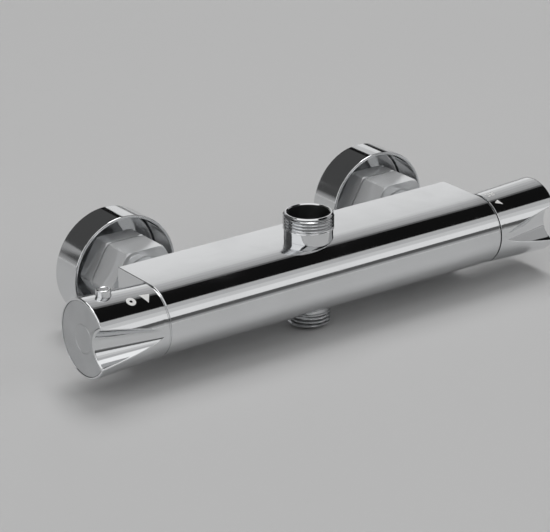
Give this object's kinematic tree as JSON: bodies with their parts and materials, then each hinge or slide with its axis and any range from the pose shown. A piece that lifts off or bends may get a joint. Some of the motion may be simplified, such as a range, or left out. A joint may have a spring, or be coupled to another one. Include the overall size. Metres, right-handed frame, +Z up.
{
  "type": "thermostatic shower valve",
  "caption": "Wall-mounted bar shower valve with a temperature handle, a flow and diverter handle with a stop button, an upper riser outlet and a lower hose outlet.",
  "frame": {"origin": "on the wall face, midway between the two supply connections", "axes": "+X along the bar to the temperature handle, +Y into the wall, +Z up"},
  "size_m": [0.262, 0.1022, 0.0563],
  "materials": {
    "polished_chrome": "polished chrome plate",
    "plated_brass": "chrome plate on turned brass",
    "pressed_chrome": "chrome plate on pressed brass sheet",
    "satin_chrome": "satin chrome",
    "brass": "turned",
    "copper_alloy": "drawn",
    "ceramic": "lapped alumina",
    "white_plastic": "moulded",
    "seal_rubber": "moulded",
    "washer_fibre": "pressed fibre",
    "stainless_steel": "drawn"
  },
  "bodies": {
    "valve": {"valve_body": "polished_chrome", "riser_nipple": "plated_brass", "riser_nipple_seal": "seal_rubber", "hose_nipple": "plated_brass", "hose_nipple_seal": "seal_rubber", "wall_connector_left": "plated_brass", "wall_connector_right": "plated_brass", "wall_flange_left": "pressed_chrome", "wall_flange_right": "pressed_chrome", "union_nut_left": "plated_brass", "union_nut_right": "plated_brass", "union_washer_left": "washer_fibre", "union_washer_right": "washer_fibre", "inlet_tail_left": "plated_brass", "inlet_tail_right": "plated_brass", "inlet_strainer_left": "stainless_steel", "inlet_strainer_right": "stainless_steel", "check_valve_housing_left": "white_plastic", "check_valve_housing_right": "white_plastic", "check_valve_spring_left": "stainless_steel", "check_valve_spring_right": "stainless_steel", "flow_seam_ring": "polished_chrome", "flow_gland_nut": "brass", "flow_stop_ring": "white_plastic", "flow_cartridge_housing": "white_plastic", "flow_cartridge_seal": "seal_rubber", "flow_base_seal": "seal_rubber", "fixed_disc": "ceramic", "temperature_seam_ring": "polished_chrome", "temperature_gland_nut": "brass", "temperature_stop_ring": "white_plastic", "thermostat_sleeve": "brass", "thermostat_seals": "seal_rubber", "thermostat_filters": "stainless_steel", "thermostat_base_ring": "brass", "thermostat_return_spring": "stainless_steel"},
    "flow_control": {"flow_spindle": "brass", "flow_spindle_seal": "seal_rubber", "moving_disc": "ceramic", "flow_adaptor": "white_plastic", "flow_handle": "polished_chrome", "flow_handle_screw": "stainless_steel", "flow_end_cap": "satin_chrome", "flow_button_spring": "stainless_steel"},
    "stop_button": {"flow_button": "polished_chrome"},
    "temperature_control": {"temperature_spindle": "brass", "temperature_spindle_seal": "seal_rubber", "temperature_adaptor": "white_plastic", "temperature_handle": "polished_chrome", "temperature_handle_screw": "stainless_steel", "temperature_end_cap": "satin_chrome"},
    "thermostat_slide": {"temperature_carrier": "brass", "overload_spring": "stainless_steel", "wax_element": "copper_alloy", "thermostat_shuttle": "brass", "thermostat_shuttle_seal": "seal_rubber"},
    "left_check_valve": {"check_valve_poppet_left": "white_plastic"},
    "right_check_valve": {"check_valve_poppet_right": "white_plastic"}
  },
  "joints": [
    {"name": "flow_turn", "type": "hinge", "parent": "valve", "child": "flow_control", "pos_m": [-0.0955, -0.07, -0.001], "axis": [1, 0, 0], "range_deg": [-90, 90]},
    {"name": "stop_button_press", "type": "slide", "parent": "flow_control", "child": "stop_button", "axis": [0, 0, -1], "range_m": [0, 0.002], "stiffness_N_per_m": 250, "springref_m": -0.002, "deforming": ["flow_button_spring"]},
    {"name": "temperature_turn", "type": "hinge", "parent": "valve", "child": "temperature_control", "pos_m": [0.0955, -0.07, -0.001], "axis": [1, 0, 0], "range_deg": [-225, 50]},
    {"name": "shuttle_travel", "type": "slide", "parent": "valve", "child": "thermostat_slide", "axis": [1, 0, 0], "range_m": [-0.0014, 0.0004], "deforming": ["thermostat_return_spring"]},
    {"name": "left_check_valve_lift", "type": "slide", "parent": "valve", "child": "left_check_valve", "axis": [0, -1, 0], "range_m": [0, 0.0025], "stiffness_N_per_m": 20, "springref_m": -0.006, "deforming": ["check_valve_spring_left"]},
    {"name": "right_check_valve_lift", "type": "slide", "parent": "valve", "child": "right_check_valve", "axis": [0, -1, 0], "range_m": [0, 0.0025], "stiffness_N_per_m": 20, "springref_m": -0.006, "deforming": ["check_valve_spring_right"]}
  ],
  "couplings": [
    {"joint": "shuttle_travel", "follows": "temperature_turn", "m_per_rad": 0.00031831}
  ]
}
